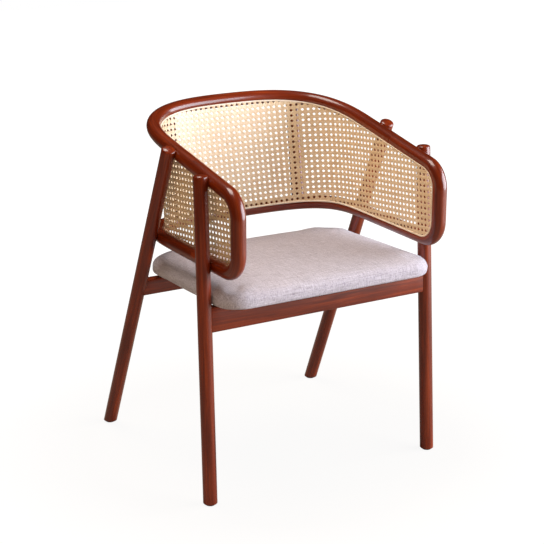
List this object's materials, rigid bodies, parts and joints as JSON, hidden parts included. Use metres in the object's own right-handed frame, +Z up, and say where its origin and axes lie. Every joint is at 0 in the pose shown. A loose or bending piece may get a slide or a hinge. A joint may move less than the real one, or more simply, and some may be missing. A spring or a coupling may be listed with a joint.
{
  "type": "cane back armchair",
  "caption": "Armchair of round stained wood rails: a rounded hoop with a woven cane back and arms, raking legs outside it, a plain apron rail and an upholstered seat.",
  "frame": {"origin": "on the floor, at the middle of the chair's width and of its whole length from the arms' front to the rear feet", "axes": "+Z up, -Y out of the chair's front, +X to the right of someone who looks at the front"},
  "size_m": [0.5538, 0.565, 0.7277],
  "materials": {
    "stained_wood": "red-brown stain under a glossy clear lacquer",
    "woven_cane": "natural cane, satin, woven in six directions",
    "reed": "pale natural reed, satin",
    "linen": "heathered grey linen weave, matt",
    "plywood": "bare plywood",
    "black_cloth": "black non-woven cloth",
    "dowel_beech": "bare beech",
    "screw_steel": "zinc-plated",
    "glide_nylon": "dark brown nylon"
  },
  "bodies": {
    "root": {"arm_dowel_left": "dowel_beech", "arm_dowel_right": "dowel_beech", "back_bottom_rail": "stained_wood", "back_stile_left": "stained_wood", "back_stile_right": "stained_wood", "back_top_rail": "stained_wood", "cane_panel": "woven_cane", "cane_spline": "reed", "dust_cover": "black_cloth", "foot_glide_front_left": "glide_nylon", "foot_glide_front_right": "glide_nylon", "foot_glide_rear_left": "glide_nylon", "foot_glide_rear_right": "glide_nylon", "front_bend_left": "stained_wood", "front_bend_right": "stained_wood", "front_rail_dowel_high_left": "dowel_beech", "front_rail_dowel_high_right": "dowel_beech", "front_rail_dowel_low_left": "dowel_beech", "front_rail_dowel_low_right": "dowel_beech", "front_seat_rail": "stained_wood", "front_seat_screw_left": "screw_steel", "front_seat_screw_right": "screw_steel", "leg_front_left": "stained_wood", "leg_front_left_dowel_lower": "dowel_beech", "leg_front_left_dowel_upper": "dowel_beech", "leg_front_right": "stained_wood", "leg_front_right_dowel_lower": "dowel_beech", "leg_front_right_dowel_upper": "dowel_beech", "leg_rear_left": "stained_wood", "leg_rear_left_dowel_lower": "dowel_beech", "leg_rear_left_dowel_upper": "dowel_beech", "leg_rear_right": "stained_wood", "leg_rear_right_dowel_lower": "dowel_beech", "leg_rear_right_dowel_upper": "dowel_beech", "lower_rail_dowel_left": "dowel_beech", "lower_rail_dowel_right": "dowel_beech", "rear_rail_dowel_high_left": "dowel_beech", "rear_rail_dowel_high_right": "dowel_beech", "rear_rail_dowel_low_left": "dowel_beech", "rear_rail_dowel_low_right": "dowel_beech", "rear_seat_batten": "stained_wood", "rear_seat_rail": "stained_wood", "rear_seat_screw_left": "screw_steel", "rear_seat_screw_right": "screw_steel", "seat_board": "plywood", "seat_cushion": "linen", "stile_dowel_lower_left": "dowel_beech", "stile_dowel_lower_right": "dowel_beech", "stile_dowel_upper_left": "dowel_beech", "stile_dowel_upper_right": "dowel_beech"}
  },
  "joints": []
}
